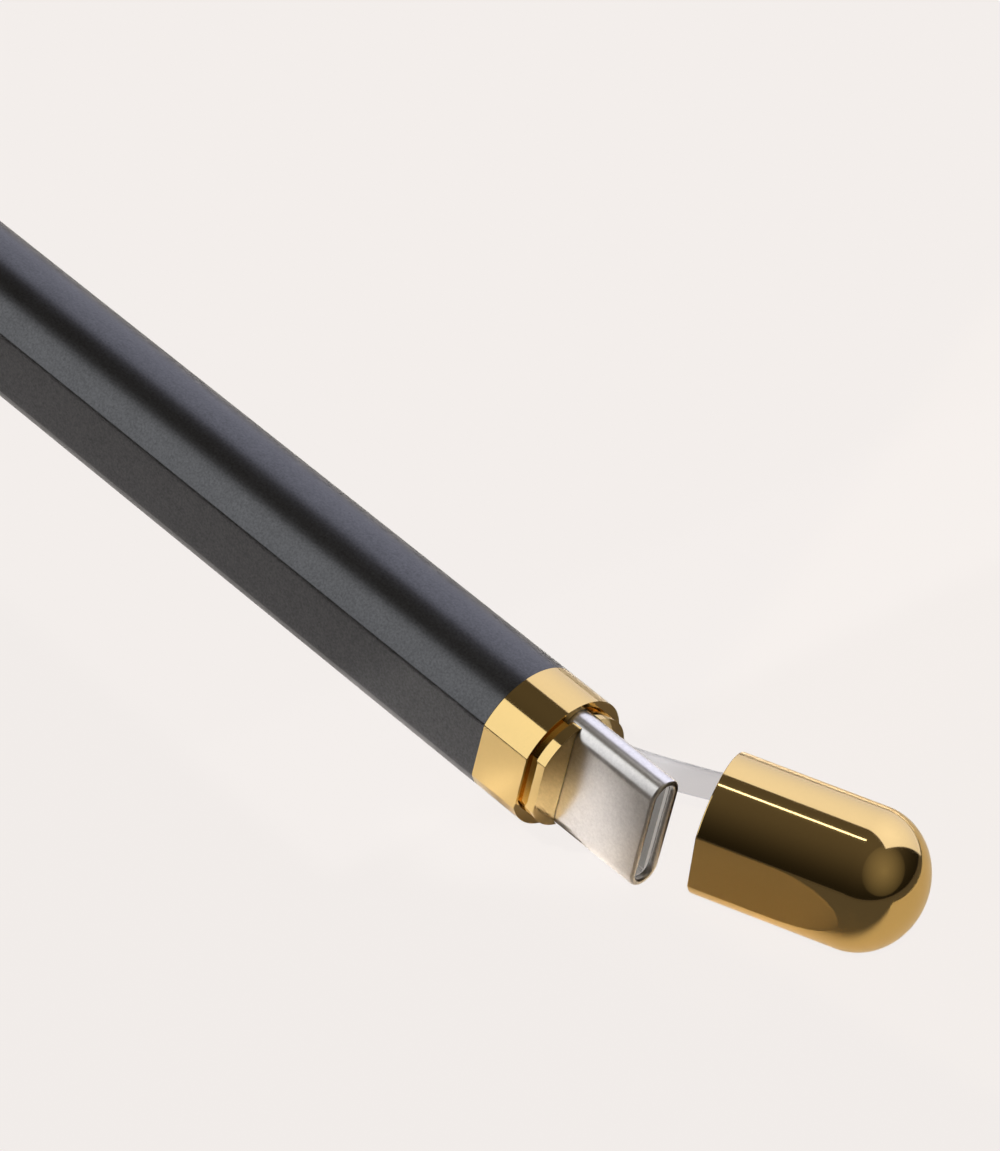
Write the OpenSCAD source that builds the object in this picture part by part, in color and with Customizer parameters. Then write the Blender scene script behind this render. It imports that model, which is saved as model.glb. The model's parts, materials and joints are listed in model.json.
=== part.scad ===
// Rechargeable tablet stylus with its tail open: a D-section barrel, a stepped ferrule that
// carries a USB-C plug, and a domed cap that hangs on a flexible strap.
// +X runs along the pen towards the plug, the flat faces -Y, and +Z is up.
// The origin is the centre of the plug at the spigot's end face.

/* [Barrel] */
// Diameter of the pen's round
body_d = 9.1; // [9:0.05:11]
// Distance from the pen's axis to its flat
flat_h = 4.1; // [4:0.05:4.4]
// Length of the barrel tube
barrel_len = 131; // [128:1:150]
// Wall of the barrel tube
barrel_wall = 0.55; // [0.4:0.05:0.6]

/* [Ferrule and spigot] */
// Length of the ferrule's outer band
ferrule_len = 3.8; // [3.6:0.1:6]
// Length of the tenons that hold the ferrule and the nose in the barrel
tenon_len = 4; // [3.5:0.5:6]
// Diameter of the spigot that the cap closes over
spigot_d = 7.9; // [7.6:0.05:8.2]
// Distance from the pen's axis to the spigot's flat
spigot_flat = 3.5; // [3.2:0.05:3.6]
// Length of the spigot, with the groove at its root
spigot_len = 1.05; // [0.8:0.05:1.5]
// Width of the groove at the spigot's root
groove_w = 0.3; // [0.2:0.05:0.4]
// Depth of that groove
groove_depth = 0.2; // [0.1:0.05:0.3]

/* [USB-C plug] */
// Width of the plug's shell
plug_w = 8.25; // [8.15:0.01:8.34]
// Thickness of the plug's shell
plug_t = 2.4; // [2.34:0.01:2.46]
// Length of the shell outside the spigot
plug_len = 6.85; // [6.5:0.05:7.2]
// Length of the shell held in the ferrule
plug_seat = 3.45; // [3:0.05:3.8]
// Wall of the shell
shell_wall = 0.28; // [0.22:0.01:0.3]
// Thickness of the shell's lip, which is rolled inwards to a full round
lip_d = 0.42; // [0.3:0.01:0.45]
// Depth of the moulding behind the shell's lip
insulator_recess = 0.5; // [0.5:0.1:2]
// Width of the slot in the moulding
cavity_w = 6.8; // [6.7:0.05:6.9]
// Height of the slot in the moulding
cavity_t = 1; // [0.9:0.05:1.1]
// Contacts in each of the two rows
contact_count = 12; // [6:1:12]
// Spacing of the contacts
contact_pitch = 0.5; // [0.4:0.05:0.5]
// Width of one contact
contact_w = 0.25; // [0.2:0.01:0.28]
// Thickness of one contact
contact_t = 0.12; // [0.1:0.01:0.15]

/* [Cap] */
// Diameter of the cap's round
cap_d = 9.3; // [9.2:0.05:9.6]
// Distance from the cap's axis to its flat
cap_flat = 4.2; // [4.1:0.05:4.3]
// Straight length of the cap's flat, from its mouth
cap_flat_len = 5; // [4:0.1:6]
// Radius of the run-out at the end of that flat
runout_r = 27; // [20:1:35]
// Wall of the cap
cap_wall = 0.4; // [0.3:0.05:0.45]
// Length of the cap's straight part
cap_len = 9.7; // [9.5:0.1:12]
// Length of the cap's dome
dome_len = 4.2; // [3.8:0.1:4.8]
// Depth from the cap's mouth to its liner
liner_depth = 8.2; // [8:0.1:9]
// Distance of the open cap's mouth from the spigot's end face
cap_x = 8.1; // [7.5:0.1:10]
// Offset of the open cap's mouth to the side away from the flat
cap_y = 4.28; // [3.8:0.02:5]
// Turn of the open cap about its own axis
cap_roll = 4.9; // [0:0.1:6]
// Lift of the open cap's dome
cap_lift = 3.5; // [0:0.1:5]
// Swing of the open cap away from the flat
cap_swing = 21.75; // [18:0.25:30]

/* [Strap] */
// Width of the strap
strap_w = 2.3; // [1.8:0.1:2.4]
// Thickness of the strap
strap_t = 0.5; // [0.4:0.05:0.6]
// Depth of the strap's middle under the barrel bore's and the cap bore's round
strap_depth = 0.65; // [0.6:0.05:0.75]
// Thickness of the knobs that keep the strap's ends in
knob_t = 1.2; // [1:0.1:1.5]
// Length of those knobs
knob_len = 1; // [0.8:0.1:1.4]

/* [Writing end] */
// Length of the nose cone
nose_len = 13; // [12:0.5:18]
// Diameter of the nose cone's tip
nose_tip_d = 3.8; // [3.6:0.1:4.4]
// Length of the nib
nib_len = 4; // [3.6:0.1:5]
// Diameter of the nib at its base
nib_d = 3.5; // [3.2:0.1:3.6]
// Radius of the nib's point
nib_point_r = 0.75; // [0.5:0.05:0.9]
// Travel of the nib
nib_travel = 0.3; // [0.2:0.05:0.4]
// Diameter of the nib's shaft
shaft_d = 1.6; // [1.4:0.05:1.8]
// Length of thread between shaft and nib
nib_thread = 2.4; // [2:0.1:2.6]
// Wire of the nib's spring
spring_wire = 0.3; // [0.2:0.05:0.35]
// Turns of the nib's spring
spring_turns = 7; // [5:1:8]

/* [Inside] */
// Diameter of the battery
battery_d = 6; // [5:0.1:6.4]
// Length of the battery
battery_len = 46; // [30:1:50]
// Length of the charging board
plug_board_len = 17; // [16:0.5:20]
// Width of the boards
board_w = 5.8; // [5:0.1:6]
// Width of the ribbon between the boards
flex_w = 2.4; // [1.6:0.1:3]
// Thickness of that ribbon
flex_t = 0.15; // [0.1:0.01:0.2]
// Length of one magnet bar
magnet_len = 16; // [10:1:18]
// Width of one magnet bar
magnet_w = 3; // [2:0.1:3.4]
// Thickness of one magnet bar
magnet_t = 1.1; // [0.8:0.1:1.3]

/* [Fits] */
// Gap round pieces that are glued or pressed in
fit_gap = 0.05; // [0.03:0.01:0.08]
// Gap round pieces that slide or turn
run_gap = 0.03; // [0.02:0.005:0.05]
// Gap round loose pieces
loose_gap = 0.15; // [0.1:0.01:0.2]

/* [Hidden] */
$fn = 96;

// Round and flat of each D section
body_r = body_d / 2;
bore_r = body_r - barrel_wall;
bore_flat = flat_h - barrel_wall;
tenon_r = bore_r - fit_gap;
tenon_flat = bore_flat - fit_gap;
spigot_r = spigot_d / 2;
cap_r = cap_d / 2;
cap_bore_r = cap_r - cap_wall;
cap_bore_flat = cap_flat - cap_wall;
tray_r = bore_r - fit_gap;
tray_flat = bore_flat - fit_gap;

// Stations along the pen
x_shoulder = -spigot_len;
x_groove = x_shoulder + groove_w;
x_ferrule = x_shoulder - ferrule_len;
x_tenon = x_ferrule - tenon_len;
x_barrel = x_ferrule - barrel_len;
x_nose_tenon = x_barrel + tenon_len;
x_nose = x_barrel - nose_len;
nib_gap = nib_travel + 0.1;
x_nib = x_nose - nib_gap;

// Plug
x_shell = -plug_seat;
mouth_w = plug_w - 2 * shell_wall;
mouth_t = plug_t - 2 * shell_wall;
insulator_w = mouth_w - 2 * run_gap;
insulator_t = mouth_t - 2 * run_gap;
x_insulator = plug_len - insulator_recess;
tail_len = 3;
tail_w = cavity_w - 0.6;
tail_t = cavity_t + 0.6;
x_tail = x_shell - tail_len;
latch_t = 0.2;
latch_h = 0.7;
latch_back = 2;
tail_slot_w = tail_w + 0.5;
tail_slot_t = tail_t + 0.9;
contact_tail = 1.7;
contact_recess = 0.9;
contact_span = (contact_count - 1) * contact_pitch + contact_w + 2 * run_gap;
board_t = cavity_t - 2 * contact_t;

// Gaskets
seal_start = 1.4;
seal_len = 1.2;
band_start = 1;
band_len = 1.2;
band_t = 0.5;

// Strap
knob_room = 0.35;
strap_y = bore_r - strap_depth;
cap_strap_y = cap_bore_r - strap_depth - knob_room;
strap_gap = 0.07;
strap_rings = 14;
strap_pull = 4;
strap_soft = 0.12;
knob_gap = 0.25;
knob_lip = 0.06;
knob_side = strap_w / 2 + knob_lip;
x_knob = x_tenon - knob_gap;
knob_depth = liner_depth + 0.8;

// Writing end
nose_tip_r = nose_tip_d / 2;
nib_r = nib_d / 2;
shaft_r = shaft_d / 2;
nose_lip = 0.6;
electrode_len = 2;
guide_len = 4;
collar_len = 1;
nose_wall = 0.5;
nose_slope = (body_r - nose_tip_r) / nose_len;
electrode_x = x_nose + nose_lip;
guide_x = electrode_x + electrode_len;
collar_x = guide_x + guide_len;
electrode_r = nose_tip_r + nose_slope * nose_lip - nose_wall;
guide_r = nose_tip_r + nose_slope * (nose_lip + electrode_len) - nose_wall;
chamber_r = nose_tip_r + nose_slope * (nose_lip + electrode_len + guide_len) - nose_wall;
collar_r = chamber_r - 0.5;
nib_base = 0.6;

// Spring between the collar and the sensor
spring_r = shaft_r + spring_wire / 2 + 0.2;
spring_x0 = collar_x + collar_len + nib_travel + 0.1 + spring_wire / 2;
spring_x1 = x_nose_tenon + loose_gap - spring_wire / 2;
spring_rings = 12;
spring_sides = 6;

// Inside the barrel, from the tail to the nose
tray_y = board_t / 2;
x_tray1 = x_tenon - loose_gap;
x_sensor0 = x_nose_tenon + loose_gap + fit_gap;
sensor_len = 2.4;
sensor_w = 3.2;
x_shaft_end = x_sensor0 - nib_travel - 0.1;
x_tray0 = x_sensor0 - fit_gap;
x_board1 = x_tail - fit_gap;
x_board0 = x_board1 - plug_board_len;
disc_t = 0.3;
cell_gap = 0.5;
flex_rise = 4;
flex_land = 2;
x_cell1 = x_board0 - cell_gap - disc_t;
x_cell0 = x_cell1 - battery_len;
x_main0 = x_sensor0 + sensor_len + cell_gap;
x_main1 = x_cell0 - disc_t - cell_gap - flex_rise;
main_len = x_main1 - x_main0;
cell_tip_r = 1;
cell_tip_len = 0.25;

// Screws of the main board
screw_r = 0.5;
screw_head_r = 0.9;
screw_head_t = 0.45;
screw_grip = 1.4;
screw_edge = 3.4;
screw_xs = [x_main0 + screw_edge, x_main1 - screw_edge];

// Ribbon over the battery
flex_y = max(battery_d / 2, tray_y) + 0.2;

// Magnet bars sit in the tray behind the flat, under the main board
magnet_y = -tray_flat + fit_gap;
magnet_xs = [x_main0 + main_len * 0.27, x_main0 + main_len * 0.73];

// Chips on the boards: place along the board from its tail end, length, width and height
main_chips = [
    [0.15, 3, 3, 0.9], [0.28, 5, 5, 1], [0.42, 2.5, 2, 0.8],
    [0.55, 4, 4, 0.8], [0.68, 2, 1.2, 0.6], [0.8, 3, 3, 0.9]
];
plug_chips = [[0.3, 3, 3, 0.8], [0.5, 2, 1.2, 0.6]];

// D section: a round of radius r with a flat at distance f from its centre
module d_section(r, f) {
    intersection() {
        circle(r);
        translate([-f, -2 * r]) square([f + 2 * r, 4 * r]);
    }
}

// Slot-shaped section with full-round ends, w along the chord and t across it
module stadium(w, t) {
    square([t, w - t], center = true);
    for (side = [-1, 1]) translate([0, side * (w - t) / 2]) circle(d = t);
}

// Extrudes a section along the pen from x0 to x1
module along_x(x0, x1) {
    translate([x0, 0, 0]) rotate([90, 0, 90]) linear_extrude(x1 - x0) children();
}

// Round bar along the pen's axis
module bar_x(x0, x1, r) {
    translate([x0, 0, 0]) rotate([0, 90, 0]) cylinder(r = r, h = x1 - x0);
}

// Ring along the pen's axis
module ring_x(x0, x1, r_out, r_in) {
    difference() {
        bar_x(x0, x1, r_out);
        bar_x(x0 - 1, x1 + 1, r_in);
    }
}

// Box between two corners
module box(low, high) {
    translate(low) cube(high - low);
}

// Closed tube through a list of rings, all with the same number of points
module sweep(rings) {
    n = len(rings[0]);
    last = len(rings) - 1;
    points = [for (ring = rings) each ring];
    sides = [
        for (i = [0:last - 1], j = [0:n - 1]) each [
            [i * n + j, i * n + (j + 1) % n, (i + 1) * n + (j + 1) % n],
            [i * n + j, (i + 1) * n + (j + 1) % n, (i + 1) * n + j]
        ]
    ];
    start = [for (j = [1:n - 2]) [0, j + 1, j]];
    end = [for (j = [1:n - 2]) [last * n, last * n + j, last * n + j + 1]];
    polyhedron(points, concat(sides, start, end));
}

// Place of the open cap: its own frame has +X along its axis and its mouth at x = 0
module at_cap() {
    translate([cap_x, cap_y, 0]) rotate([cap_roll, -cap_lift, cap_swing]) children();
}

// Directions and points of the cap's frame in the pen's frame
function turn_x(p, a) = [p.x, p.y * cos(a) - p.z * sin(a), p.y * sin(a) + p.z * cos(a)];
function turn_y(p, a) = [p.x * cos(a) + p.z * sin(a), p.y, p.z * cos(a) - p.x * sin(a)];
function turn_z(p, a) = [p.x * cos(a) - p.y * sin(a), p.x * sin(a) + p.y * cos(a), p.z];
function cap_dir(p) = turn_z(turn_y(turn_x(p, cap_roll), -cap_lift), cap_swing);
function cap_point(p) = [cap_x, cap_y, 0] + cap_dir(p);

// Outline of the cap's dome and straight part, from its axis to its mouth
function dome_outline(r, straight, dome, from = 0, steps = 24) = concat(
    [[0, from]],
    [[r, from]],
    [for (i = [0:steps]) [r * cos(90 * i / steps), straight + dome * sin(90 * i / steps)]]
);

// Domed D-section solid about the cap's axis
module dome_solid(r, f, straight, dome, from = 0) {
    intersection() {
        rotate([0, 90, 0]) rotate_extrude() polygon(dome_outline(r, straight, dome, from));
        box([from - 1, -f, -2 * r], [straight + dome + 1, 2 * r, 2 * r]);
    }
}

// D-section aluminium tube
module barrel() {
    color("#2b2b2e") along_x(x_barrel, x_ferrule) difference() {
        d_section(body_r, flat_h);
        d_section(bore_r, bore_flat);
    }
}

// Cone that keeps the barrel's flat, with stepped seats for the writing end
module nose_cone() {
    color("#2b2b2e") difference() {
        union() {
            intersection() {
                along_x(x_nose, x_barrel) d_section(body_r, flat_h);
                translate([x_nose, 0, 0]) rotate([0, 90, 0])
                    cylinder(r1 = nose_tip_r, r2 = body_r, h = nose_len);
            }
            along_x(x_barrel, x_nose_tenon) d_section(tenon_r, tenon_flat);
        }
        bar_x(x_nose - 1, x_nose_tenon + 1, shaft_r + loose_gap);
        bar_x(electrode_x, x_nose_tenon + 1, electrode_r);
        bar_x(guide_x, x_nose_tenon + 1, guide_r);
        bar_x(collar_x, x_nose_tenon + 1, chamber_r);
    }
}

// Plastic nib with a threaded socket
module nib() {
    color("#d9d6d0") difference() {
        translate([x_nib, 0, 0]) rotate([0, -90, 0]) rotate_extrude() intersection() {
            union() {
                polygon([
                    [0, 0], [nib_r, 0], [nib_r - nib_base * nose_slope, nib_base],
                    [nib_point_r, nib_len - nib_point_r], [0, nib_len - nib_point_r]
                ]);
                translate([0, nib_len - nib_point_r]) circle(nib_point_r);
            }
            square([nib_d, nib_len]);
        }
        bar_x(x_nib - nib_thread - run_gap, x_nib + 1, shaft_r + run_gap);
    }
}

// Shaft that carries the nib back to the sensor
module nib_shaft() {
    color("#b08d4f") bar_x(x_nib - nib_thread, x_shaft_end, shaft_r);
}

// Collar pressed on the shaft, which the guide stops
module shaft_collar() {
    color("#b08d4f") ring_x(collar_x + fit_gap, collar_x + collar_len, collar_r, shaft_r + run_gap / 2);
}

// Rings of the spring's wire, with its ends cut square
function spring_ring(i, n) = let (
    a = 360 * spring_turns * i / n,
    x = spring_x0 + (spring_x1 - spring_x0) * i / n
) [
    for (j = [0:spring_sides - 1]) let (
        b = 360 * j / spring_sides,
        r = spring_r + spring_wire / 2 * cos(b)
    ) [x + spring_wire / 2 * sin(b), r * cos(a), r * sin(a)]
];

// Return spring between the collar and the sensor's seat
module nib_spring() {
    n = spring_turns * spring_rings;
    color("#9a9a9a") sweep([for (i = [0:n]) spring_ring(i, n)]);
}

// Bush that guides the shaft
module shaft_guide() {
    color("#1c1c1c") ring_x(guide_x + fit_gap, collar_x - fit_gap, guide_r - fit_gap, shaft_r + run_gap);
}

// Ring electrode at the nose's tip that senses the pen's tilt
module tilt_electrode() {
    color("#b87333") ring_x(electrode_x + fit_gap, guide_x, electrode_r - fit_gap, shaft_r + loose_gap);
}

// Sensor that the shaft presses on
module force_sensor() {
    color("#3a5a40") box(
        [x_sensor0, -tray_y, -sensor_w / 2],
        [x_sensor0 + sensor_len, sensor_w / 2, sensor_w / 2]
    );
}

// Hole for a board screw, from above the board to the screw's point
module screw_hole(x, r) {
    translate([x, tray_y + 1, 0]) rotate([90, 0, 0]) cylinder(r = r, h = 1 + board_t + screw_grip);
}

// Tray under the boards and the battery
module chassis() {
    color("#404040") difference() {
        intersection() {
            along_x(x_tray0, x_tray1) d_section(tray_r, tray_flat);
            box([x_tray0 - 1, -2 * body_r, -2 * body_r], [x_tray1 + 1, -tray_y, 2 * body_r]);
        }
        bar_x(x_cell0 - disc_t - cell_gap, x_cell1 + disc_t + cell_gap / 2, battery_d / 2 + fit_gap);
        for (x = magnet_xs) box(
            [x - magnet_len / 2 - fit_gap, -2 * body_r, -magnet_w / 2 - fit_gap],
            [x + magnet_len / 2 + fit_gap, magnet_y + magnet_t + fit_gap, magnet_w / 2 + fit_gap]
        );
        for (x = screw_xs) screw_hole(x, screw_r + run_gap / 2);
    }
}

// Cylindrical cell with its raised contact
module battery() {
    color("#4f6d8f") {
        bar_x(x_cell0, x_cell1, battery_d / 2);
        bar_x(x_cell1, x_cell1 + cell_tip_len, cell_tip_r);
    }
}

// Insulating washers on the cell's ends
module battery_insulators() {
    color("#c9b458") {
        ring_x(x_cell1 + run_gap, x_cell1 + disc_t, battery_d / 2, cell_tip_r + fit_gap);
        bar_x(x_cell0 - disc_t, x_cell0 - run_gap, battery_d / 2);
    }
}

// Main board, screwed to the tray
module main_board() {
    color("#1f5c3a") difference() {
        box([x_main0, -tray_y, -board_w / 2], [x_main1, tray_y, board_w / 2]);
        for (x = screw_xs) screw_hole(x, screw_r + fit_gap);
    }
}

// One chip standing on a board, x being its middle
module chip(x, size) {
    box([x - size[1] / 2, tray_y, -size[2] / 2], [x + size[1] / 2, tray_y + size[3], size[2] / 2]);
}

// Chips of both boards
module board_chips() {
    color("#18181a") {
        for (size = main_chips) chip(x_main1 - size[0] * main_len, size);
        for (size = plug_chips) chip(x_board1 - size[0] * plug_board_len, size);
    }
}

// Two screws that hold the main board
module board_screws() {
    color("#8f8f8f") for (x = screw_xs) translate([x, 0, 0]) rotate([90, 0, 0]) {
        translate([0, 0, -tray_y - screw_head_t]) cylinder(r = screw_head_r, h = screw_head_t);
        translate([0, 0, -tray_y]) cylinder(r = screw_r, h = board_t + screw_grip);
    }
}

// Ribbon from the charging board over the battery to the main board
module flex_cable() {
    x_end = x_cell0 - disc_t - cell_gap;
    route = [
        [x_board0 + flex_rise + flex_land, tray_y],
        [x_board0 + flex_rise, tray_y],
        [x_board0, flex_y],
        [x_end, flex_y],
        [x_main1, tray_y],
        [x_main1 - flex_land, tray_y]
    ];
    top = [for (p = route) [p.x, p.y + flex_t]];
    back = [for (i = [len(route) - 1:-1:0]) route[i]];
    color("#c47f3a") translate([0, 0, -flex_w / 2]) linear_extrude(flex_w) polygon(concat(top, back));
}

// Magnet bars behind the flat
module magnets() {
    color("#a8a8ad") for (x = magnet_xs) box(
        [x - magnet_len / 2, magnet_y, -magnet_w / 2],
        [x + magnet_len / 2, magnet_y + magnet_t, magnet_w / 2]
    );
}

// Band, stepped spigot and tenon in one piece, with the plug's and the strap's ways through
module ferrule() {
    strap_low = strap_y - strap_t / 2 - strap_gap;
    strap_high = strap_y + strap_t / 2 + strap_gap;
    strap_side = strap_w / 2 + strap_gap;
    color("#d9a441") difference() {
        union() {
            along_x(x_tenon, x_ferrule) d_section(tenon_r, tenon_flat);
            along_x(x_ferrule, x_shoulder) d_section(body_r, flat_h);
            along_x(x_shoulder, x_groove) d_section(spigot_r - groove_depth, spigot_flat - groove_depth);
            along_x(x_groove, 0) d_section(spigot_r, spigot_flat);
        }
        along_x(x_shell - fit_gap, 1) stadium(plug_w + 2 * fit_gap, plug_t + 2 * fit_gap);
        box([x_tenon - 1, -tail_slot_t / 2, -tail_slot_w / 2], [x_shell, tail_slot_t / 2, tail_slot_w / 2]);
        box([x_tenon - 1, strap_low, -strap_side], [1, strap_high, strap_side]);
        along_x(x_tenon + band_start, x_tenon + band_start + band_len) difference() {
            d_section(2 * body_r, 2 * body_r);
            d_section(tenon_r - band_t, tenon_flat - band_t);
        }
    }
}

// Gasket band in the tenon's groove, open where the strap passes
module ferrule_seal() {
    x0 = x_tenon + band_start;
    color("#202020") along_x(x0 + run_gap, x0 + band_len - run_gap) difference() {
        d_section(tenon_r, tenon_flat);
        d_section(tenon_r - band_t + run_gap, tenon_flat - band_t + run_gap);
        translate([0, -strap_w / 2 - 2 * strap_gap]) square([2 * body_r, strap_w + 4 * strap_gap]);
    }
}

// Section of the shell's wall with its rolled lip, r being half the plug's thickness
module shell_wall_section() {
    r = plug_t / 2;
    translate([r - shell_wall, x_shell]) square([shell_wall, plug_len - x_shell - lip_d / 2]);
    translate([r - lip_d / 2, plug_len - lip_d / 2]) circle(d = lip_d);
}

// Steel shell: two half-round sides and two broad faces, all with the same lip
module plug_shell() {
    chord = plug_w - plug_t;
    color("#b9b6b0") union() {
        for (side = [-1, 1]) translate([0, 0, side * chord / 2]) intersection() {
            rotate([0, 90, 0]) rotate_extrude() shell_wall_section();
            box([x_shell - 1, -plug_t, min(0, side * plug_t)], [plug_len + 1, plug_t, max(0, side * plug_t)]);
        }
        for (face = [0, 1]) mirror([0, face, 0]) translate([0, 0, -chord / 2])
            linear_extrude(chord) mirror([1, -1, 0]) shell_wall_section();
    }
}

// Moulding that holds the contacts, with a slot for the socket's tongue
module plug_insulator() {
    latch_z = cavity_w / 2 + latch_t + 2 * run_gap;
    color("#8a847c") difference() {
        union() {
            along_x(x_shell, x_insulator) stadium(insulator_w, insulator_t);
            along_x(x_tail, x_shell) square([tail_t, tail_w], center = true);
        }
        box([x_tail - 1, -cavity_t / 2, -contact_span / 2], [plug_len, cavity_t / 2, contact_span / 2]);
        box([-latch_back, -cavity_t / 2, -cavity_w / 2], [plug_len, cavity_t / 2, cavity_w / 2]);
        box([-latch_back, -latch_h / 2 - run_gap, -latch_z], [plug_len, latch_h / 2 + run_gap, latch_z]);
    }
}

// Two rows of spring contacts, soldered to the charging board at their tails
module plug_contacts() {
    color("#d8b45a") for (row = [-1, 1], i = [0:contact_count - 1]) {
        z = (i - (contact_count - 1) / 2) * contact_pitch;
        y = row * (cavity_t - contact_t) / 2;
        box(
            [x_tail - contact_tail, y - contact_t / 2, z - contact_w / 2],
            [x_insulator - contact_recess, y + contact_t / 2, z + contact_w / 2]
        );
    }
}

// Side springs that hold the plug in a socket
module plug_latches() {
    color("#a9a9a9") for (side = [-1, 1]) {
        z = side * (cavity_w / 2 + run_gap + latch_t / 2);
        box(
            [-latch_back + run_gap, -latch_h / 2, z - latch_t / 2],
            [x_insulator - contact_recess, latch_h / 2, z + latch_t / 2]
        );
    }
}

// Charging board, its edge between the two rows of contacts
module plug_board() {
    color("#1f5c3a") box([x_board0, -tray_y, -board_w / 2], [x_board1, tray_y, board_w / 2]);
}

// Gasket round the moulding's tail
module plug_seal() {
    x1 = x_shell - seal_start;
    color("#5a5a5a") along_x(x1 - seal_len, x1) difference() {
        square([tail_slot_t - 2 * fit_gap, tail_slot_w - 2 * fit_gap], center = true);
        square([tail_t + 2 * fit_gap, tail_w + 2 * fit_gap], center = true);
    }
}

// Section of the strap at a point, n across its thickness and w across its width
function soft_ring(p, n, w, low, high, b, c) = [
    for (q = [
        [high, c - b], [high - c, -b], [low + c, -b], [low, c - b],
        [low, b - c], [low + c, b], [high - c, b], [high, b - c]
    ]) p + q[0] * n + q[1] * w
];
function strap_ring(p, n, w) = soft_ring(p, n, w, -strap_t / 2, strap_t / 2, strap_w / 2, strap_soft);

// The same at a knob, which is thicker towards the axis
function knob_ring(p, n, w) = soft_ring(
    p, n, w, strap_t / 2 - knob_t, strap_t / 2 + knob_lip, knob_side, strap_soft
);

// Point and direction of the strap's free stretch, u going from the spigot to the cap
function strap_from() = [0, strap_y, 0];
function strap_to() = cap_point([strap_w / 4, cap_strap_y, 0]);
function strap_point(u) = let (v = 1 - u)
    strap_from() * (v * v * (1 + 2 * u)) + strap_to() * (u * u * (1 + 2 * v))
    + [1, 0, 0] * (strap_pull * u * v * v) - cap_dir([1, 0, 0]) * (strap_pull * u * u * v);
function strap_heading(u) = strap_point(min(u + 0.01, 1)) - strap_point(max(u - 0.01, 0));
function strap_free_ring(u) = let (
    t = strap_heading(u) / norm(strap_heading(u)),
    side = [0, 0, 1] * (1 - u) + cap_dir([0, 0, 1]) * u,
    across = cross(side, t),
    n = across / norm(across)
) strap_ring(strap_point(u), n, cross(t, n));

// Strap with a knob at each end, one behind the ferrule and one in the cap's liner
module strap() {
    up = [0, 1, 0];
    side = [0, 0, 1];
    back = [x_knob, strap_y, 0];
    cap_up = cap_dir(up);
    cap_side = cap_dir(side);
    front = cap_point([knob_depth, cap_strap_y, 0]);
    color([0.86, 0.86, 0.88, 0.7]) sweep(concat(
        [knob_ring(back - [knob_len, 0, 0], up, side), knob_ring(back, up, side), strap_ring(back, up, side)],
        [for (i = [0:strap_rings]) strap_free_ring(i / strap_rings)],
        [strap_ring(front, cap_up, cap_side), knob_ring(front, cap_up, cap_side)],
        [knob_ring(front + cap_dir([knob_len, 0, 0]), cap_up, cap_side)]
    ));
}

// Hollow cap with a domed end, and a flat that runs out before the dome
module cap_shell() {
    color("#d9a441") at_cap() difference() {
        rotate([0, 90, 0]) rotate_extrude() polygon(dome_outline(cap_r, cap_len, dome_len));
        box([-1, -2 * cap_r, -2 * cap_r], [cap_flat_len, -cap_flat, 2 * cap_r]);
        translate([cap_flat_len, -cap_flat - runout_r, -2 * cap_r]) cylinder(r = runout_r, h = 4 * cap_r);
        dome_solid(cap_bore_r, cap_bore_flat, cap_len, dome_len - cap_wall, -1);
    }
}

// Moulding in the dome, with the pocket for the strap's knob
module cap_liner() {
    low = cap_strap_y + strap_t / 2 - knob_t - strap_gap;
    side = strap_w / 2 + strap_gap;
    color("#3a3a3a") at_cap() difference() {
        dome_solid(
            cap_bore_r - fit_gap, cap_bore_flat - fit_gap, cap_len, dome_len - cap_wall - fit_gap, liner_depth
        );
        box([liner_depth - 1, cap_strap_y - strap_t / 2 - strap_gap, -side], [knob_depth, 2 * cap_r, side]);
        box(
            [knob_depth - strap_gap, low, -knob_side - strap_gap],
            [knob_depth + knob_len + strap_gap, 2 * cap_r, knob_side + strap_gap]
        );
    }
}

barrel();
nose_cone();
nib();
nib_shaft();
shaft_collar();
nib_spring();
shaft_guide();
tilt_electrode();
force_sensor();
chassis();
battery();
battery_insulators();
main_board();
board_chips();
board_screws();
flex_cable();
magnets();
ferrule();
ferrule_seal();
plug_shell();
plug_insulator();
plug_contacts();
plug_latches();
plug_board();
plug_seal();
strap();
cap_shell();
cap_liner();
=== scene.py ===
"""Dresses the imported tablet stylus: black barrel, polished ferrule and cap, steel plug, clear strap."""

import json
import math

import bmesh
import bpy
from bpy.props import FloatProperty, FloatVectorProperty, IntProperty, PointerProperty
from mathutils import Euler, Matrix, Vector


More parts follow.
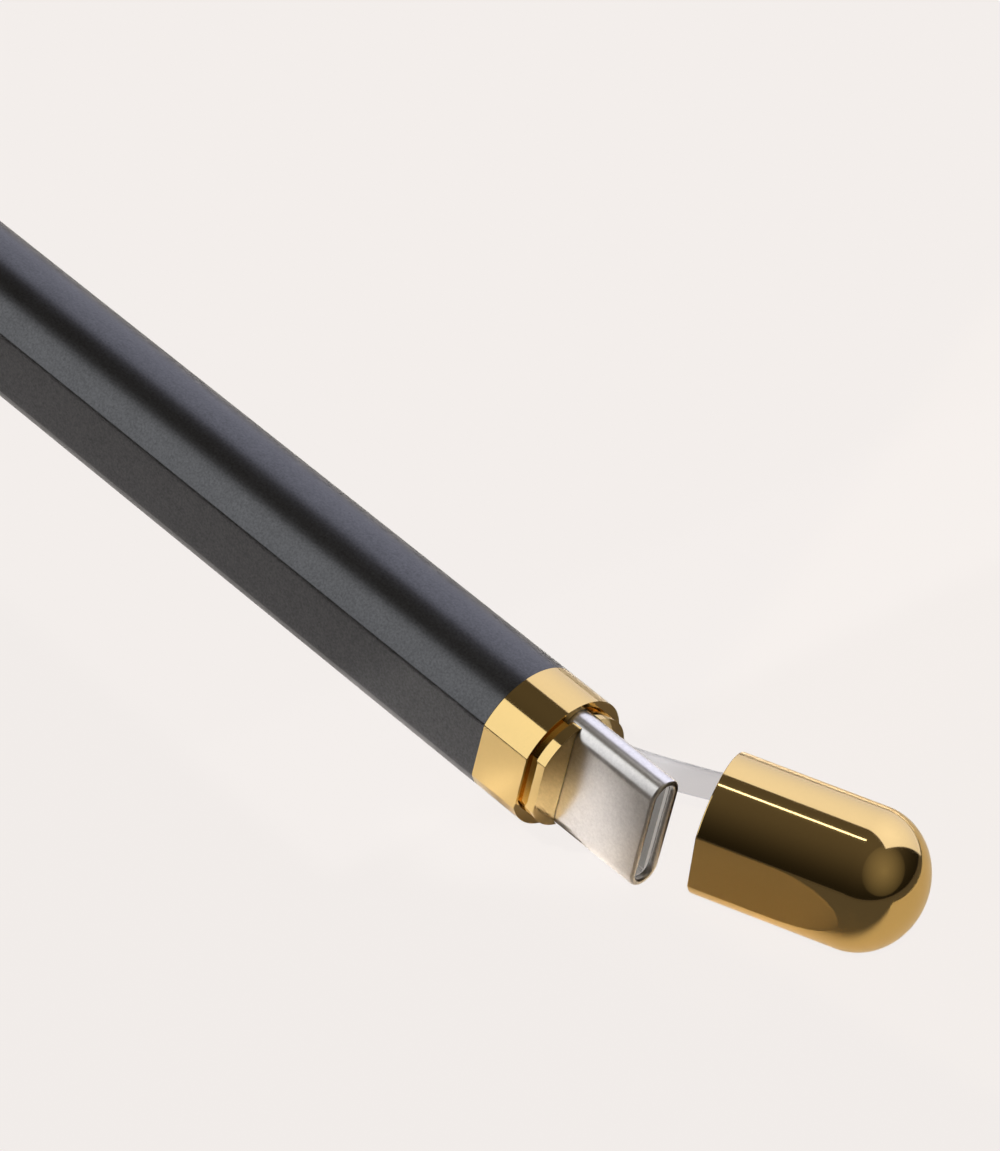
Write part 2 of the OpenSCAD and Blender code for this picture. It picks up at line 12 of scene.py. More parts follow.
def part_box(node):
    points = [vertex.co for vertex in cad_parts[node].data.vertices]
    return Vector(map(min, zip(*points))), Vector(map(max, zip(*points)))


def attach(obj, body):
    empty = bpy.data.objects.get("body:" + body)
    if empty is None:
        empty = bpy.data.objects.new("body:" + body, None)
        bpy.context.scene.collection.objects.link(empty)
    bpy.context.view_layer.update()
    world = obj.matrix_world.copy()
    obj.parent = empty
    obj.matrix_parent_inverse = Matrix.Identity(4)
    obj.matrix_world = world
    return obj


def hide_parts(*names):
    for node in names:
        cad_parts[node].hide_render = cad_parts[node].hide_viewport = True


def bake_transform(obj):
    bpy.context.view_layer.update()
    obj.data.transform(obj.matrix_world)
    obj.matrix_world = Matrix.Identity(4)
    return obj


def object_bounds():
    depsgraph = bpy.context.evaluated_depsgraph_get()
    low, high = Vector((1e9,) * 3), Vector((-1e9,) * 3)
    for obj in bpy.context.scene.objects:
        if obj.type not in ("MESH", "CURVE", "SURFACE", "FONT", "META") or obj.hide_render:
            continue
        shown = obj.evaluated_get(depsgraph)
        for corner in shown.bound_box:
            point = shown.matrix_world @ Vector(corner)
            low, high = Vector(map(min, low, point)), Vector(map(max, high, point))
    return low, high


bl_info = {
    "name": "Tablet Stylus",
    "version": (1, 0, 0),
    "blender": (4, 5, 0),
    "location": "View3D > Sidebar > Stylus",
    "description": "Models the visible pieces of a tablet stylus round its packed frame",
    "category": "Add Mesh",
}

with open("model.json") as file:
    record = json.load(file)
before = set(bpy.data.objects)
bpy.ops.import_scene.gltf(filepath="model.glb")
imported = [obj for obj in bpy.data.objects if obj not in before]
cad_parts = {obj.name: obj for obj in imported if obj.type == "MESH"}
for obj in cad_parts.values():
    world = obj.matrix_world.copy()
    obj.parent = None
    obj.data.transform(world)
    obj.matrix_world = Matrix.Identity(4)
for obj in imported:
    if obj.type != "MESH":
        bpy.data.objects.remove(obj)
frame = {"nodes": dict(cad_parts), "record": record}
CAD_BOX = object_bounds()

MM = 0.001
TINY = 0.0005 * MM
SQUARE = 0.99
BARREL_LOW, BARREL_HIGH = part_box("barrel")
NOSE_LOW, NOSE_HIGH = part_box("nose_cone")
NIB_LOW, NIB_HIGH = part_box("nib")
FERRULE_LOW, FERRULE_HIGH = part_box("ferrule")
PLUG_LOW, PLUG_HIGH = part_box("plug_shell")
STRAP_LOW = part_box("strap")[0]
SLOT_OF = {part["node"]: part["material_slot"] for part in frame["record"]["subparts"]}


def length(name, description, mm):
    """Length property with its default in millimetres."""
    return FloatProperty(name=name, description=description, default=mm * MM, unit="LENGTH")


def colour(name, description, rgb):
    """Colour property."""
    return FloatVectorProperty(
        name=name, description=description, default=rgb, subtype="COLOR", min=0, max=1
    )


class StylusSizes(bpy.types.PropertyGroup):
    """Sizes of the pieces, in the frame's metres"""

    round_steps: IntProperty(
        name="Round steps", description="Facets round a full turn", default=224, min=32
    )
    body_radius: length("Body radius", "Radius of the barrel's round", BARREL_HIGH.y / MM)
    body_flat: length("Body flat", "Distance from the pen's axis to its flat", -BARREL_LOW.y / MM)
    barrel_wall: length("Barrel wall", "Wall of the barrel tube", 0.55)
    barrel_soft: length("Barrel edge", "Softening of the barrel's two long edges", 0.36)
    edge_soft: length("Metal edge", "Softening of the polished edges", 0.05)
    shoulder: length("Shoulder", "Place of the ferrule's shoulder behind the spigot's face", 1.05)
    tenon_radius: length("Tenon radius", "Radius of the ferrule's tenon", 3.95)
    tenon_flat: length("Tenon flat", "Distance from the axis to the tenon's flat", 3.5)
    spigot_radius: length("Spigot radius", "Radius of the spigot that the cap closes over", 3.95)
    spigot_flat: length("Spigot flat", "Distance from the axis to the spigot's flat", 3.5)
    groove_width: length("Groove width", "Width of the groove at the spigot's root", 0.3)
    groove_depth: length("Groove depth", "Depth of the groove at the spigot's root", 0.2)
    plug_wall: length("Plug wall", "Wall of the plug's shell", 0.28)
    plug_lip: length("Plug lip", "Thickness of the plug's rolled lip", 0.42)
    plug_fit: length("Plug fit", "Gap round the plug in the spigot", 0.05)
    cap_radius: length("Cap radius", "Radius of the cap's round", 4.65)
    cap_flat: length("Cap flat", "Distance from the cap's axis to its flat", 4.2)
    cap_flat_length: length("Cap flat length", "Straight length of the cap's flat", 5.0)
    cap_runout: length("Cap run-out", "Radius in which the cap's flat runs out", 27.0)
    cap_wall: length("Cap wall", "Wall of the cap", 0.4)
    cap_length: length("Cap length", "Length of the cap's straight part", 9.7)
    dome_length: length("Dome length", "Length of the cap's dome", 4.2)
    cap_place: FloatVectorProperty(
        name="Cap place",
        description="Middle of the open cap's mouth",
        default=(8.1 * MM, 4.28 * MM, 0),
        subtype="TRANSLATION",
    )
    cap_turn: FloatVectorProperty(
        name="Cap turn",
        description="Roll, lift and swing of the open cap",
        default=(math.radians(4.9), math.radians(-3.5), math.radians(21.75)),
        subtype="EULER",
    )
    strap_width: length("Strap width", "Width of the strap", 2.3)
    strap_thickness: length("Strap thickness", "Thickness of the strap", 0.5)
    strap_offset: length("Strap offset", "Distance of the strap from the pen's axis", 3.35)
    strap_cap_offset: length(
        "Strap offset in the cap", "Distance of the strap from the cap's axis", 3.25
    )
    strap_depth: length("Strap depth", "Depth to which the strap reaches into the cap", 10.0)
    strap_pull: length("Strap stiffness", "How far the strap runs straight before it bends", 4.0)
    knob_length: length("Knob length", "Length of the knobs at the strap's ends", 1.0)
    knob_thickness: length("Knob thickness", "Thickness of those knobs, towards the axis", 1.2)
    knob_lip: length("Knob lip", "How far the knobs stand out at the strap's other sides", 0.06)
    nose_tip_radius: length("Nose tip", "Radius of the nose cone's tip", 1.9)
    shaft_hole: length("Shaft hole", "Radius of the hole for the nib's shaft", 0.95)
    nib_point: length("Nib point", "Radius of the nib's point", 0.75)


class StylusFinishes(bpy.types.PropertyGroup):
    """Colours of the finishes"""

    anodised: colour("Black anodised", "Barrel and nose cone", (0.110, 0.113, 0.120))
    gold: colour("Polished gold", "Ferrule and cap", (0.82, 0.595, 0.25))
    steel: colour("Plug steel", "Shell of the plug", (0.85, 0.84, 0.83))
    strap: colour("Clear strap", "Strap", (0.81, 0.81, 0.83))
    paper: colour("Paper", "Floor and backdrop", (0.908, 0.866, 0.842))


class StylusStage(bpy.types.PropertyGroup):
    """Camera and light of the studio"""

    lens: FloatProperty(name="Lens", description="Focal length", default=178.2, unit="CAMERA")
    camera_place: FloatVectorProperty(
        name="Camera place",
        description="Where the camera stands",
        default=(0.16353, -0.22668, 0.21528),
        subtype="TRANSLATION",
    )
    camera_right: FloatVectorProperty(
        name="Camera right",
        description="Direction of the picture's right",
        default=(0.68446, 0.70199, 0.19678),
        subtype="DIRECTION",
    )
    camera_up: FloatVectorProperty(
        name="Camera up",
        description="Direction of the picture's top",
        default=(-0.53821, 0.30446, 0.78590),
        subtype="DIRECTION",
    )
    paper_share: FloatProperty(
        name="Paper share",
        description="Share of the paper's own tone where it is seen directly",
        default=0.97,
        min=0,
        max=1,
        subtype="FACTOR",
    )
    gloss_share: FloatProperty(
        name="Paper share in metal",
        description="Share of the paper's own tone where polished metal shows it",
        default=0.05,
        min=0,
        max=1,
        subtype="FACTOR",
    )


# Modelling helpers


def deselect():
    """Leaves nothing selected."""
    if bpy.context.object and bpy.context.object.mode != "OBJECT":
        bpy.ops.object.mode_set(mode="OBJECT")
    bpy.ops.object.select_all(action="DESELECT")


def only(obj):
    """Leaves obj alone selected, and active."""
    deselect()
    obj.select_set(True)
    bpy.context.view_layer.objects.active = obj


def to_edit(obj):
    """Opens obj, and nothing else, in edit mode."""
    only(obj)
    bpy.ops.object.mode_set(mode="EDIT")


def to_object():
    """Closes edit mode."""
    bpy.ops.object.mode_set(mode="OBJECT")


def select(obj, verts=None, edges=None, faces=None):
    """Selects the vertices, edges or faces of the open mesh that pass a test."""
    mode = "VERT" if verts else "EDGE" if edges else "FACE"
    bpy.ops.mesh.select_mode(type=mode)
    bpy.ops.mesh.select_all(action="DESELECT")
    mesh = bmesh.from_edit_mesh(obj.data)
    found = {"VERT": mesh.verts, "EDGE": mesh.edges, "FACE": mesh.faces}[mode]
    test = verts or edges or faces
    for item in found:
        item.select_set(bool(test(item)))
    mesh.select_flush_mode()
    bmesh.update_edit_mesh(obj.data)


def near(a, b, gap=0.004 * MM):
    """Whether two coordinates are the same but for rounding."""
    return abs(a - b) < gap


def first_point(name, point):
    """New object in edit mode with a single vertex at a point."""
    deselect()
    bpy.ops.mesh.primitive_plane_add(size=MM, location=point)
    obj = bpy.context.object
    obj.name = obj.data.name = name
    bpy.ops.object.transform_apply(location=True, rotation=False, scale=False)
    to_edit(obj)
    bpy.ops.mesh.select_mode(type="VERT")
    bpy.ops.mesh.select_all(action="SELECT")
    bpy.ops.mesh.merge(type="CENTER")
    bpy.ops.mesh.select_all(action="SELECT")
    return obj


def draw(points, start):
    """Extrudes the selected vertex from point to point."""
    for point in points:
        step = Vector(point) - Vector(start)
        bpy.ops.mesh.extrude_vertices_move(TRANSFORM_OT_translate={"value": step})
        start = point


def outward():
    """Merges doubles and turns all faces outwards."""
    bpy.ops.mesh.select_all(action="SELECT")
    bpy.ops.mesh.remove_doubles(threshold=TINY)
    bpy.ops.mesh.normals_make_consistent(inside=False)


def on_flat(edge, flat):
    """Whether an edge lies in the plane of a flat."""
    return all(near(v.co.y, -flat) for v in edge.verts)


def at_end(edge, x):
    """Whether an edge is a sharp one at the end x of a piece."""
    return all(near(v.co.x, x) for v in edge.verts) and edge.calc_face_angle(0) > 1


def d_bar(name, radius, flat, x0, x1, soft=0):
    """Bar of D section along X: a corner of its flat is spun round the axis, filled and extruded."""
    steps = bpy.context.scene.stylus_sizes.round_steps
    side = math.sqrt(radius**2 - flat**2)
    obj = first_point(name, (x0, -flat, side))
    turn = 2 * math.pi - 2 * math.atan2(side, flat)
    bpy.ops.mesh.spin(steps=steps, angle=turn, center=(x0, 0, 0), axis=(1, 0, 0))
    bpy.ops.mesh.select_all(action="SELECT")
    bpy.ops.mesh.edge_face_add()
    bpy.ops.mesh.extrude_region_move(TRANSFORM_OT_translate={"value": (x1 - x0, 0, 0)})
    outward()
    if soft:
        select(obj, edges=lambda e: on_flat(e, flat) and near(e.verts[0].co.z, e.verts[1].co.z))
        bpy.ops.mesh.bevel(offset=soft, segments=4, affect="EDGES")
    to_object()
    return obj


def slot_bar(name, width, thickness, x0, x1, steps=48):
    """Bar along X with full-round narrow sides: a round bar whose halves are pulled apart."""
    deselect()
    bpy.ops.mesh.primitive_cylinder_add(
        vertices=2 * steps,
        radius=thickness / 2,
        depth=x1 - x0,
        location=((x0 + x1) / 2, 0, 0),
        rotation=(0, math.pi / 2, 0),
    )
    obj = bpy.context.object
    obj.name = obj.data.name = name
    bpy.ops.object.transform_apply(location=True, rotation=True, scale=False)
    to_edit(obj)
    bpy.ops.mesh.select_all(action="SELECT")
    half_step = math.pi / (2 * steps)
    bpy.ops.transform.rotate(value=half_step, orient_axis="X", center_override=(0, 0, 0))
    for side in (-1, 1):
        select(obj, verts=lambda v: v.co.z * side > 0)
        bpy.ops.transform.translate(value=(0, 0, side * (width - thickness) / 2))
    to_object()
    return obj


def block(name, low, high):
    """Box between two corners."""
    deselect()
    low, high = Vector(low), Vector(high)
    bpy.ops.mesh.primitive_cube_add(size=1, location=(low + high) / 2, scale=high - low)
    obj = bpy.context.object
    obj.name = obj.data.name = name
    bpy.ops.object.transform_apply(location=True, rotation=False, scale=True)
    return obj


def turned(name, profile, axis="X"):
    """Turned piece: a closed profile of (along, radius) points spun round the axis."""
    steps = bpy.context.scene.stylus_sizes.round_steps
    place = (lambda a, r: (a, r, 0)) if axis == "X" else (lambda a, r: (r, 0, a))
    spun = (1, 0, 0) if axis == "X" else (0, 0, 1)
    points = [place(*p) for p in profile]
    obj = first_point(name, points[0])
    draw(points[1:], points[0])
    bpy.ops.mesh.select_all(action="SELECT")
    bpy.ops.mesh.spin(steps=steps, angle=2 * math.pi, center=(0, 0, 0), axis=spun)
    outward()
    to_object()
    return obj


def use_modifier(obj, kind, **values):
    """Adds a modifier and applies it."""
    only(obj)
    modifier = obj.modifiers.new(kind.title(), kind)
    for key, value in values.items():
        setattr(modifier, key, value)
    bpy.ops.object.modifier_apply(modifier=modifier.name)


def combine(obj, other, operation):
    """Joins another solid to obj, or cuts it out."""
    use_modifier(obj, "BOOLEAN", operation=operation, solver="EXACT", object=other)
    bpy.data.objects.remove(other)


def soften(obj, width, segments=3, angle=20):
    """Rounds the sharp edges."""
    use_modifier(
        obj,
        "BEVEL",
        width=width,
        segments=segments,
        limit_method="ANGLE",
        angle_limit=math.radians(angle),
        use_clamp_overlap=True,
    )


def smooth(obj, angle):
    """Shades obj smooth, apart from edges sharper than an angle in degrees."""
    only(obj)
    bpy.ops.object.shade_smooth_by_angle(angle=math.radians(angle))


def favour_large_faces(obj):
    """Keeps large faces evenly shaded up to their soft edges. Areas are weighed in square mm."""
    in_mm = Matrix.Scale(1 / MM, 4)
    obj.data.transform(in_mm)
    use_modifier(obj, "WEIGHTED_NORMAL", keep_sharp=True)
    obj.data.transform(in_mm.inverted())


def dress(obj, node, body):
    """Puts obj in a CAD node's place, with that node's finish and body."""
    to_edit(obj)
    bpy.ops.mesh.select_all(action="SELECT")
    bpy.ops.mesh.dissolve_degenerate(threshold=TINY)
    to_object()
    slot = SLOT_OF[node]
    obj.data.materials.clear()
    obj.data.materials.append(finish(slot))
    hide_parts(node)
    if body:
        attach(obj, body)


# Finishes


def node_of(tree, kind, **values):
    """New node with attributes and input values set."""
    node = tree.nodes.new(kind)
    for key, value in values.items():
        if key in node.inputs:
            node.inputs[key].default_value = value
        else:
            setattr(node, key, value)
    return node


def surface_group():
    """Shared effect: fine grain, slow haze and a slight change of colour over a surface."""
    tree = bpy.data.node_groups.get("surface_life")
    if tree:
        return tree
    tree = bpy.data.node_groups.new("surface_life", "ShaderNodeTree")
    sockets = tree.interface
    for name, kind, value in (
        ("Colour", "NodeSocketColor", (0.5, 0.5, 0.5, 1)),
        ("Shade", "NodeSocketFloat", 0.1),
        ("Speckle", "NodeSocketFloat", 0.0),
        ("Roughness", "NodeSocketFloat", 0.4),
        ("Spread", "NodeSocketFloat", 0.1),
        ("Stretch", "NodeSocketVector", (1, 1, 1)),
        ("Grain scale", "NodeSocketFloat", 8000),
        ("Haze scale", "NodeSocketFloat", 300),
    ):
        sockets.new_socket(name, in_out="INPUT", socket_type=kind).default_value = value
    sockets.new_socket("Colour", in_out="OUTPUT", socket_type="NodeSocketColor")
    for name in ("Roughness", "Height"):
        sockets.new_socket(name, in_out="OUTPUT", socket_type="NodeSocketFloat")
    grain_share, middle, shaded = 0.35, 0.5, (0.35, 0.35, 0.35, 1)
    source = tree.nodes.new("NodeGroupInput")
    result = tree.nodes.new("NodeGroupOutput")
    place = node_of(tree, "ShaderNodeTexCoord")
    stretched = node_of(tree, "ShaderNodeVectorMath", operation="MULTIPLY")
    grain = node_of(tree, "ShaderNodeTexNoise", Detail=3.0, Roughness=0.6)
    haze = node_of(tree, "ShaderNodeTexNoise", Detail=4.0, Roughness=0.65, Distortion=0.6)
    both = node_of(tree, "ShaderNodeMath", operation="MULTIPLY_ADD")
    both.inputs[1].default_value = grain_share
    centred = node_of(tree, "ShaderNodeMath", operation="SUBTRACT")
    centred.inputs[1].default_value = (1 + grain_share) * middle
    rough = node_of(tree, "ShaderNodeMath", operation="MULTIPLY_ADD")
    darker = node_of(tree, "ShaderNodeMix", data_type="RGBA", blend_type="MULTIPLY")
    darker.inputs[7].default_value = shaded
    amount = node_of(tree, "ShaderNodeMath", operation="MULTIPLY", use_clamp=True)
    fleck = node_of(tree, "ShaderNodeMath", operation="SUBTRACT")
    fleck.inputs[1].default_value = middle
    gain = node_of(tree, "ShaderNodeMath", operation="MULTIPLY_ADD")
    gain.inputs[2].default_value = 1.0
    flecked = node_of(tree, "ShaderNodeVectorMath", operation="SCALE")
    link = tree.links.new
    link(place.outputs["Object"], stretched.inputs[0])
    link(source.outputs["Stretch"], stretched.inputs[1])
    link(stretched.outputs[0], grain.inputs["Vector"])
    link(source.outputs["Grain scale"], grain.inputs["Scale"])
    link(place.outputs["Object"], haze.inputs["Vector"])
    link(source.outputs["Haze scale"], haze.inputs["Scale"])
    link(grain.outputs["Fac"], both.inputs[0])
    link(haze.outputs["Fac"], both.inputs[2])
    link(both.outputs[0], centred.inputs[0])
    link(centred.outputs[0], rough.inputs[0])
    link(source.outputs["Spread"], rough.inputs[1])
    link(source.outputs["Roughness"], rough.inputs[2])
    link(haze.outputs["Fac"], amount.inputs[0])
    link(source.outputs["Shade"], amount.inputs[1])
    link(amount.outputs[0], darker.inputs[0])
    link(source.outputs["Colour"], darker.inputs[6])
    link(grain.outputs["Fac"], fleck.inputs[0])
    link(fleck.outputs[0], gain.inputs[0])
    link(source.outputs["Speckle"], gain.inputs[1])
    link(darker.outputs[2], flecked.inputs[0])
    link(gain.outputs[0], flecked.inputs["Scale"])
    link(flecked.outputs[0], result.inputs["Colour"])
    link(rough.outputs[0], result.inputs["Roughness"])
    link(grain.outputs["Fac"], result.inputs["Height"])
    return tree


EVEN = (1, 1, 1)
# Slot: metallic, roughness and its spread, shade, speckle, stretch of the grain,
# grain per metre, haze per metre, bump depth in mm
LOOKS = {
    "black_anodised": (1, 0.3, 0.1, 0.12, 1.1, EVEN, 6500, 260, 0.006),
    "polished_gold": (1, 0.075, 0.04, 0.05, 0.05, EVEN, 5000, 420, 0.0),
    "plug_steel": (1, 0.29, 0.05, 0.08, 0.4, EVEN, 5500, 700, 0.0004),
    "clear_strap": (0, 0.38, 0.1, 0.04, 0.0, EVEN, 6000, 500, 0.002),
    "black_plastic": (0, 0.5, 0.15, 0.3, 0.3, EVEN, 7000, 400, 0.003),
    "plug_plastic": (0, 0.55, 0.15, 0.25, 0.2, EVEN, 7000, 600, 0.003),
    "nib_plastic": (0, 0.42, 0.15, 0.1, 0.1, EVEN, 7000, 900, 0.002),
    "brass_rod": (1, 0.24, 0.12, 0.2, 0.2, (1, 0.05, 0.05), 9000, 500, 0.001),
    "spring_steel": (1, 0.25, 0.1, 0.2, 0.2, (0.1, 1, 1), 9000, 500, 0.001),
    "copper_ring": (1, 0.28, 0.12, 0.2, 0.2, (1, 0.1, 0.1), 8000, 600, 0.001),
    "board_green": (0, 0.42, 0.15, 0.3, 0.3, EVEN, 4000, 700, 0.003),
    "chip_black": (0, 0.55, 0.15, 0.3, 0.4, EVEN, 9000, 700, 0.003),
    "cell_wrap": (0, 0.3, 0.1, 0.2, 0.1, EVEN, 3000, 300, 0.002),
    "fibre_washer": (0, 0.7, 0.2, 0.4, 0.5, (1, 0.2, 1), 6000, 700, 0.004),
    "ribbon_amber": (0, 0.35, 0.1, 0.3, 0.2, (0.05, 1, 1), 3000, 400, 0.001),
    "magnet_nickel": (1, 0.16, 0.1, 0.15, 0.1, EVEN, 5000, 600, 0.001),
    "seal_rubber": (0, 0.65, 0.2, 0.3, 0.3, EVEN, 6000, 700, 0.004),
    "contact_gold": (1, 0.2, 0.1, 0.15, 0.1, (0.1, 1, 1), 6000, 900, 0.0005),
}


def slot_colour(slot):
    """Colour of a slot: the add-on's own, or else the record's."""
    colours = bpy.context.scene.stylus_finishes
    own = {
        "black_anodised": colours.anodised,
        "polished_gold": colours.gold,
        "plug_steel": colours.steel,
        "clear_strap": colours.strap,
    }
    if slot in own:
        return (*own[slot], 1)
    entry = next(m for m in frame["record"]["materials"] if m["slot"] == slot)
    return (*entry["base_color"][:3], 1)


def finish(slot):
    """Material of a slot, made once."""
    material = bpy.data.materials.get(slot)
    if material and material.get("stylus"):
        return material
    metallic, rough, spread, shade, speckle, stretch, grain, haze, bump = LOOKS[slot]
    material = bpy.data.materials.new(slot)
    material["stylus"] = True
    material.use_nodes = True
    tree = material.node_tree
    shader = tree.nodes["Principled BSDF"]
    shader.inputs["Metallic"].default_value = metallic
    life = tree.nodes.new("ShaderNodeGroup")
    life.node_tree = surface_group()
    for name, value in (
        ("Colour", slot_colour(slot)),
        ("Shade", shade),
        ("Speckle", speckle),
        ("Roughness", rough),
        ("Spread", spread),
        ("Stretch", stretch),
        ("Grain scale", grain),
        ("Haze scale", haze),
    ):
        life.inputs[name].default_value = value
    tree.links.new(life.outputs["Colour"], shader.inputs["Base Color"])
    tree.links.new(life.outputs["Roughness"], shader.inputs["Roughness"])
    if bump:
        relief = node_of(tree, "ShaderNodeBump", Strength=0.5, Distance=bump * MM)
        tree.links.new(life.outputs["Height"], relief.inputs["Height"])
        tree.links.new(relief.outputs["Normal"], shader.inputs["Normal"])
    if slot == "clear_strap":
        shader.inputs["Transmission Weight"].default_value = 0.9
        shader.inputs["IOR"].default_value = 1.3
    return material


def paper():
    """Pale paper of the floor and backdrop, which keeps part of the shadow."""
    material = bpy.data.materials.new("paper")
    material.use_nodes = True
    tree = material.node_tree
    tree.nodes.clear()
    tone = (*bpy.context.scene.stylus_finishes.paper, 1)
    lit = node_of(tree, "ShaderNodeBsdfDiffuse", Color=tone)
    own = node_of(tree, "ShaderNodeEmission", Color=tone, Strength=1.0)
    rays = node_of(tree, "ShaderNodeLightPath")
    stage = bpy.context.scene.stylus_stage
    direct = node_of(tree, "ShaderNodeMath", operation="MAXIMUM")
    direct_share = node_of(tree, "ShaderNodeMath", operation="MULTIPLY")
    direct_share.inputs[1].default_value = stage.paper_share
    gloss_share = node_of(tree, "ShaderNodeMath", operation="MULTIPLY")
    gloss_share.inputs[1].default_value = stage.gloss_share
    share = node_of(tree, "ShaderNodeMath", operation="MAXIMUM")
    mixed = node_of(tree, "ShaderNodeMixShader")
    out = node_of(tree, "ShaderNodeOutputMaterial")
    link = tree.links.new
    link(rays.outputs["Is Camera Ray"], direct.inputs[0])
    link(rays.outputs["Is Transmission Ray"], direct.inputs[1])
    link(direct.outputs[0], direct_share.inputs[0])
    link(rays.outputs["Is Glossy Ray"], gloss_share.inputs[0])
    link(direct_share.outputs[0], share.inputs[0])
    link(gloss_share.outputs[0], share.inputs[1])
    link(share.outputs[0], mixed.inputs[0])
    link(lit.outputs[0], mixed.inputs[1])
    link(own.outputs[0], mixed.inputs[2])
    link(mixed.outputs[0], out.inputs["Surface"])
    return material


# Pieces


class STYLUS_OT_barrel(bpy.types.Operator):
    """Black tube of D section"""

    bl_idname = "stylus.barrel"
    bl_label = "Barrel"

    def execute(self, context):
        s = context.scene.stylus_sizes
        x0, x1 = BARREL_LOW.x, BARREL_HIGH.x
        tube = d_bar("barrel_tube", s.body_radius, s.body_flat, x0, x1, s.barrel_soft)
        to_edit(tube)
        select(tube, faces=lambda f: abs(f.normal.x) > SQUARE)
        bpy.ops.mesh.inset(thickness=s.barrel_wall, use_individual=True)
        bpy.ops.mesh.bridge_edge_loops()
        to_object()
        soften(tube, s.edge_soft, 2, 50)
        smooth(tube, 20)
        dress(tube, "barrel", "pen")
        return {"FINISHED"}


class STYLUS_OT_nose(bpy.types.Operator):
    """Nose cone with the barrel's flat and a stepped bore"""

    bl_idname = "stylus.nose"
    bl_label = "Nose cone"

    def execute(self, context):
        s = context.scene.stylus_sizes
        x0, x1, x2 = NOSE_LOW.x, BARREL_LOW.x, NOSE_HIGH.x
        lip, ring, guide = 0.6 * MM, 2 * MM, 4 * MM
        slope = (s.body_radius - s.nose_tip_radius) / (x1 - x0)
        wall = 0.5 * MM
        bore = [s.nose_tip_radius + slope * d - wall for d in (lip, lip + ring, lip + ring + guide)]
        tip_round = 0.25 * MM
        ease = 0.3 * tip_round
        profile = [
            (x0, s.shaft_hole),
            (x0, s.nose_tip_radius - tip_round),
            (x0 + ease, s.nose_tip_radius - ease),
            (x0 + tip_round, s.nose_tip_radius + slope * tip_round),
            (x1, s.body_radius),
            (x1, s.tenon_flat),
            (x2, s.tenon_flat),
            (x2, bore[2]),
            (x0 + lip + ring + guide, bore[2]),
            (x0 + lip + ring + guide, bore[1]),
            (x0 + lip + ring, bore[1]),
            (x0 + lip + ring, bore[0]),
            (x0 + lip, bore[0]),
            (x0 + lip, s.shaft_hole),
            (x0, s.shaft_hole),
        ]
        cone = turned("nose_body", profile)
        to_edit(cone)
        bpy.ops.mesh.select_all(action="SELECT")
        bpy.ops.mesh.bisect(
            plane_co=(0, -s.body_flat, 0),
            plane_no=(0, -1, 0),
            use_fill=True,
            clear_outer=True,
            threshold=TINY,
        )
        outward()
        to_object()
        smooth(cone, 20)
        dress(cone, "nose_cone", "pen")
        return {"FINISHED"}


class STYLUS_OT_nib(bpy.types.Operator):
    """Turned nib with a round point and a socket for its shaft"""

    bl_idname = "stylus.nib"
    bl_label = "Nib"

    def execute(self, context):
        s = context.scene.stylus_sizes
        tip, base, radius = NIB_LOW.x, NIB_HIGH.x, NIB_HIGH.y
        point = s.nib_point
        rim, skirt = 0.12 * MM, 0.6 * MM
        socket, socket_depth = 0.83 * MM, 2.43 * MM
        arc = [math.radians(a) for a in range(0, 76, 6)]
        profile = [(tip + point - point * math.cos(a), point * math.sin(a)) for a in arc]
        profile += [
            (base - skirt, radius - rim),
            (base - rim, radius),
            (base, radius - rim),
            (base, socket),
            (base - socket_depth, socket),
            (base - socket_depth, 0),
        ]
        nib = turned("nib_point", profile)
        smooth(nib, 35)
        dress(nib, "nib", "nib")
        return {"FINISHED"}


class STYLUS_OT_ferrule(bpy.types.Operator):
    """Polished band with its stepped spigot, cut for the plug and the strap"""

    bl_idname = "stylus.ferrule"
    bl_label = "Ferrule"

    def execute(self, context):
        s = context.scene.stylus_sizes
        back, joint, face = FERRULE_LOW.x, BARREL_HIGH.x, FERRULE_HIGH.x
        shoulder = face - s.shoulder
        groove = shoulder + s.groove_width
        lap = 0.8 * MM
        seal_back, seal_front, seal_depth = back + 1 * MM, back + 2.2 * MM, 0.5 * MM
        band = d_bar("ferrule_band", s.body_radius, s.body_flat, joint, shoulder, s.edge_soft)
        groove_radius, groove_flat = s.spigot_radius - s.groove_depth, s.spigot_flat - s.groove_depth
        seal_radius, seal_flat = s.tenon_radius - seal_depth, s.tenon_flat - seal_depth
        steps = (
            (groove_radius, groove_flat, shoulder - lap, face - lap / 2),
            (s.spigot_radius, s.spigot_flat, groove, face),
            (seal_radius, seal_flat, seal_back - lap / 2, joint + lap),
            (s.tenon_radius, s.tenon_flat, seal_front, joint + lap),
            (s.tenon_radius, s.tenon_flat, back, seal_back),
        )
        for radius, flat, x0, x1 in steps:
            combine(band, d_bar("step", radius, flat, x0, x1, s.edge_soft), "UNION")
        fit = 2 * s.plug_fit
        seat = PLUG_LOW.x - s.plug_fit
        tall, wide = PLUG_HIGH.z - PLUG_LOW.z + fit, PLUG_HIGH.y - PLUG_LOW.y + fit
        combine(band, slot_bar("seat", tall, wide, seat, face + lap), "DIFFERENCE")
        way, way_side = 1.25 * MM, 3.35 * MM
        low, high = (back - lap, -way, -way_side), (seat + lap / 4, way, way_side)
        combine(band, block("way", low, high), "DIFFERENCE")
        gap = 0.07 * MM
        side = s.strap_width / 2 + gap
        half = s.strap_thickness / 2 + gap
        low = (back - lap, s.strap_offset - half, -side)
        high = (face + lap, s.strap_offset + half, side)
        combine(band, block("notch", low, high), "DIFFERENCE")
        soften(band, s.edge_soft, 3, 40)
        smooth(band, 40)
        favour_large_faces(band)
        dress(band, "ferrule", "pen")
        return {"FINISHED"}


